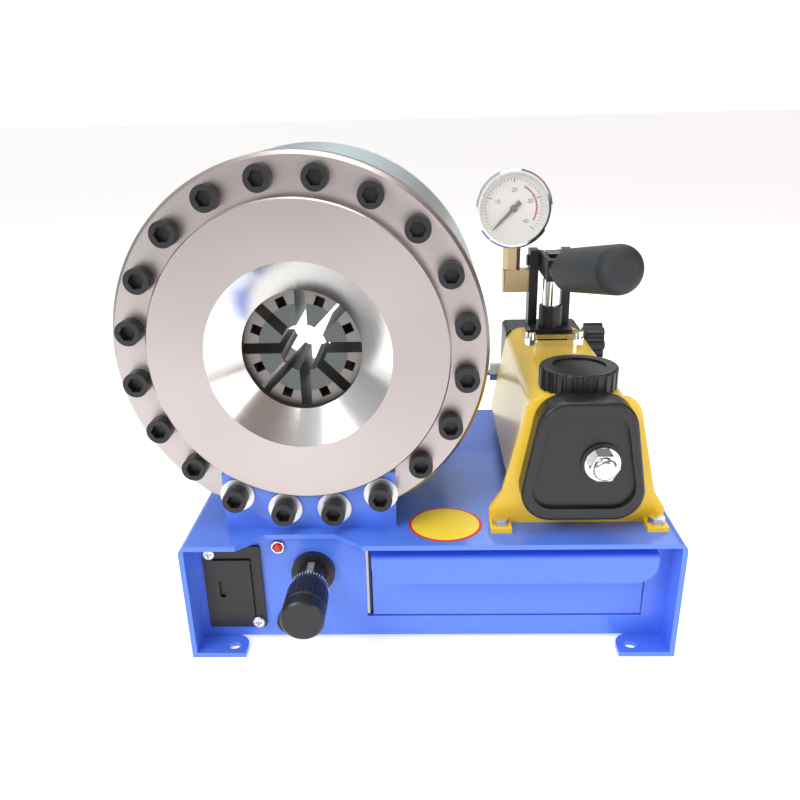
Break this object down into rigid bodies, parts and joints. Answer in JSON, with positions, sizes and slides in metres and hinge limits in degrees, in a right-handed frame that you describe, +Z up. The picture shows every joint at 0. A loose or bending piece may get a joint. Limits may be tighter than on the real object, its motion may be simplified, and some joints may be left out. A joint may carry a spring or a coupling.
{
  "type": "hose crimping machine",
  "caption": "Hand-operated hydraulic hose crimping machine with radial dies closed by an annular piston, lever pump, pressure gauge and drawer.",
  "frame": {"origin": "on the floor, at the centre of the four foot holes", "axes": "+X to the pump side, +Y to the rear, +Z up; the crimping mouth faces -Y"},
  "size_m": [0.418, 0.347, 0.373],
  "materials": {
    "blue_paint": "gloss",
    "yellow_paint": "gloss",
    "turned_steel": "fine turned",
    "black_oxide": "satin black oxide",
    "die_steel": "phosphated",
    "black_plastic": "satin",
    "chrome": "polished",
    "zinc": "zinc plated",
    "red_plastic": "gloss",
    "foam": "grained",
    "rubber_black": "matt",
    "dial_white": "satin",
    "clear_glass": "clear",
    "brass": "machined"
  },
  "bodies": {
    "machine": {"base_frame": "blue_paint", "front_panel": "blue_paint", "rear_panel": "blue_paint", "drawer_rails": "zinc", "front_cover": "turned_steel", "barrel": "turned_steel", "cover_bolts": "black_oxide", "bracket_bolts": "black_oxide", "bracket_washers": "zinc", "head_bracket": "blue_paint", "rear_bracket": "blue_paint", "rear_bolts": "black_oxide", "mic_sleeve": "black_plastic", "limit_switch": "black_plastic", "battery_box": "black_plastic", "panel_screws": "zinc", "led_lamp": "red_plastic", "button_bezel": "black_plastic", "tank_shell": "yellow_paint", "tank_end_cap": "black_plastic", "tie_bolt": "chrome", "pump_bracket": "yellow_paint", "pump_bolts": "zinc", "pump_body": "black_oxide", "gauge_adapter": "brass", "gauge_case": "chrome", "gauge_dial": "dial_white", "gauge_glass": "clear_glass", "lever_clevis": "black_oxide", "clamp_ring": "chrome", "pressure_pipe": "zinc"},
    "piston": {"piston": "turned_steel", "piston_seal": "rubber_black"},
    "drawer": {"drawer_tray": "blue_paint", "drawer_front": "blue_paint"},
    "battery_holder": {"battery_tray": "black_plastic"},
    "thimble": {"mic_thimble": "black_plastic"},
    "start_button": {"push_button": "red_plastic"},
    "filler": {"filler_cap": "black_plastic"},
    "needle": {"gauge_needle": "black_plastic"},
    "lever": {"lever_handle": "black_oxide", "lever_grip": "foam"},
    "pump_plunger": {"plunger": "chrome"},
    "release": {"release_knob": "black_plastic"},
    "die_1": {"master_die_1": "die_steel", "crimp_die_1": "die_steel"},
    "die_2": {"master_die_2": "die_steel", "crimp_die_2": "die_steel"},
    "die_3": {"master_die_3": "die_steel", "crimp_die_3": "die_steel"},
    "die_4": {"master_die_4": "die_steel", "crimp_die_4": "die_steel"},
    "die_5": {"master_die_5": "die_steel", "crimp_die_5": "die_steel"},
    "die_6": {"master_die_6": "die_steel", "crimp_die_6": "die_steel"},
    "die_7": {"master_die_7": "die_steel", "crimp_die_7": "die_steel"},
    "die_8": {"master_die_8": "die_steel", "crimp_die_8": "die_steel"}
  },
  "joints": [
    {"name": "piston_stroke", "type": "slide", "parent": "machine", "child": "piston", "axis": [0, -1, 0], "range_m": [0, 0.027]},
    {"name": "die_slide_1", "type": "slide", "parent": "machine", "child": "die_1", "axis": [-0.9239, 0, -0.3827], "range_m": [0, 0.00985]},
    {"name": "die_slide_2", "type": "slide", "parent": "machine", "child": "die_2", "axis": [-0.3827, 0, -0.9239], "range_m": [0, 0.00985]},
    {"name": "die_slide_3", "type": "slide", "parent": "machine", "child": "die_3", "axis": [0.3827, 0, -0.9239], "range_m": [0, 0.00985]},
    {"name": "die_slide_4", "type": "slide", "parent": "machine", "child": "die_4", "axis": [0.9239, 0, -0.3827], "range_m": [0, 0.00985]},
    {"name": "die_slide_5", "type": "slide", "parent": "machine", "child": "die_5", "axis": [0.9239, 0, 0.3827], "range_m": [0, 0.00985]},
    {"name": "die_slide_6", "type": "slide", "parent": "machine", "child": "die_6", "axis": [0.3827, 0, 0.9239], "range_m": [0, 0.00985]},
    {"name": "die_slide_7", "type": "slide", "parent": "machine", "child": "die_7", "axis": [-0.3827, 0, 0.9239], "range_m": [0, 0.00985]},
    {"name": "die_slide_8", "type": "slide", "parent": "machine", "child": "die_8", "axis": [-0.9239, 0, 0.3827], "range_m": [0, 0.00985]},
    {"name": "drawer_slide", "type": "slide", "parent": "machine", "child": "drawer", "axis": [0, -1, 0], "range_m": [0, 0.18]},
    {"name": "battery_holder_slide", "type": "slide", "parent": "machine", "child": "battery_holder", "axis": [0, -1, 0], "range_m": [0, 0.05]},
    {"name": "thimble_turn", "type": "hinge", "parent": "machine", "child": "thimble", "pos_m": [-0.092, -0.16, 0.065], "axis": [0, 1, 0], "continuous": true},
    {"name": "start_press", "type": "slide", "parent": "machine", "child": "start_button", "axis": [0, 1, 0], "range_m": [0, 0.0025], "stiffness_N_per_m": 600},
    {"name": "filler_turn", "type": "hinge", "parent": "machine", "child": "filler", "pos_m": [0.113, -0.083, 0.205], "axis": [0, 0, 1], "continuous": true},
    {"name": "needle_turn", "type": "hinge", "parent": "machine", "child": "needle", "pos_m": [0.078, 0.086, 0.312], "axis": [0, 1, 0], "range_deg": [0, 270]},
    {"name": "lever_pump", "type": "hinge", "parent": "machine", "child": "lever", "pos_m": [0.113, 0.092, 0.266], "axis": [-1, 0, 0], "range_deg": [0, 40]},
    {"name": "plunger_stroke", "type": "slide", "parent": "machine", "child": "pump_plunger", "axis": [0, 0, 1], "range_m": [0, 0.0144]},
    {"name": "release_turn", "type": "hinge", "parent": "machine", "child": "release", "pos_m": [0.16, 0.116, 0.182], "axis": [1, 0, 0], "range_deg": [0, 270]}
  ],
  "couplings": [
    {"joint": "die_slide_1", "follows": "piston_stroke", "ratio": 0.36397},
    {"joint": "die_slide_2", "follows": "piston_stroke", "ratio": 0.36397},
    {"joint": "die_slide_3", "follows": "piston_stroke", "ratio": 0.36397},
    {"joint": "die_slide_4", "follows": "piston_stroke", "ratio": 0.36397},
    {"joint": "die_slide_5", "follows": "piston_stroke", "ratio": 0.36397},
    {"joint": "die_slide_6", "follows": "piston_stroke", "ratio": 0.36397},
    {"joint": "die_slide_7", "follows": "piston_stroke", "ratio": 0.36397},
    {"joint": "die_slide_8", "follows": "piston_stroke", "ratio": 0.36397},
    {"joint": "plunger_stroke", "follows": "lever_pump", "m_per_rad": 0.0205}
  ]
}
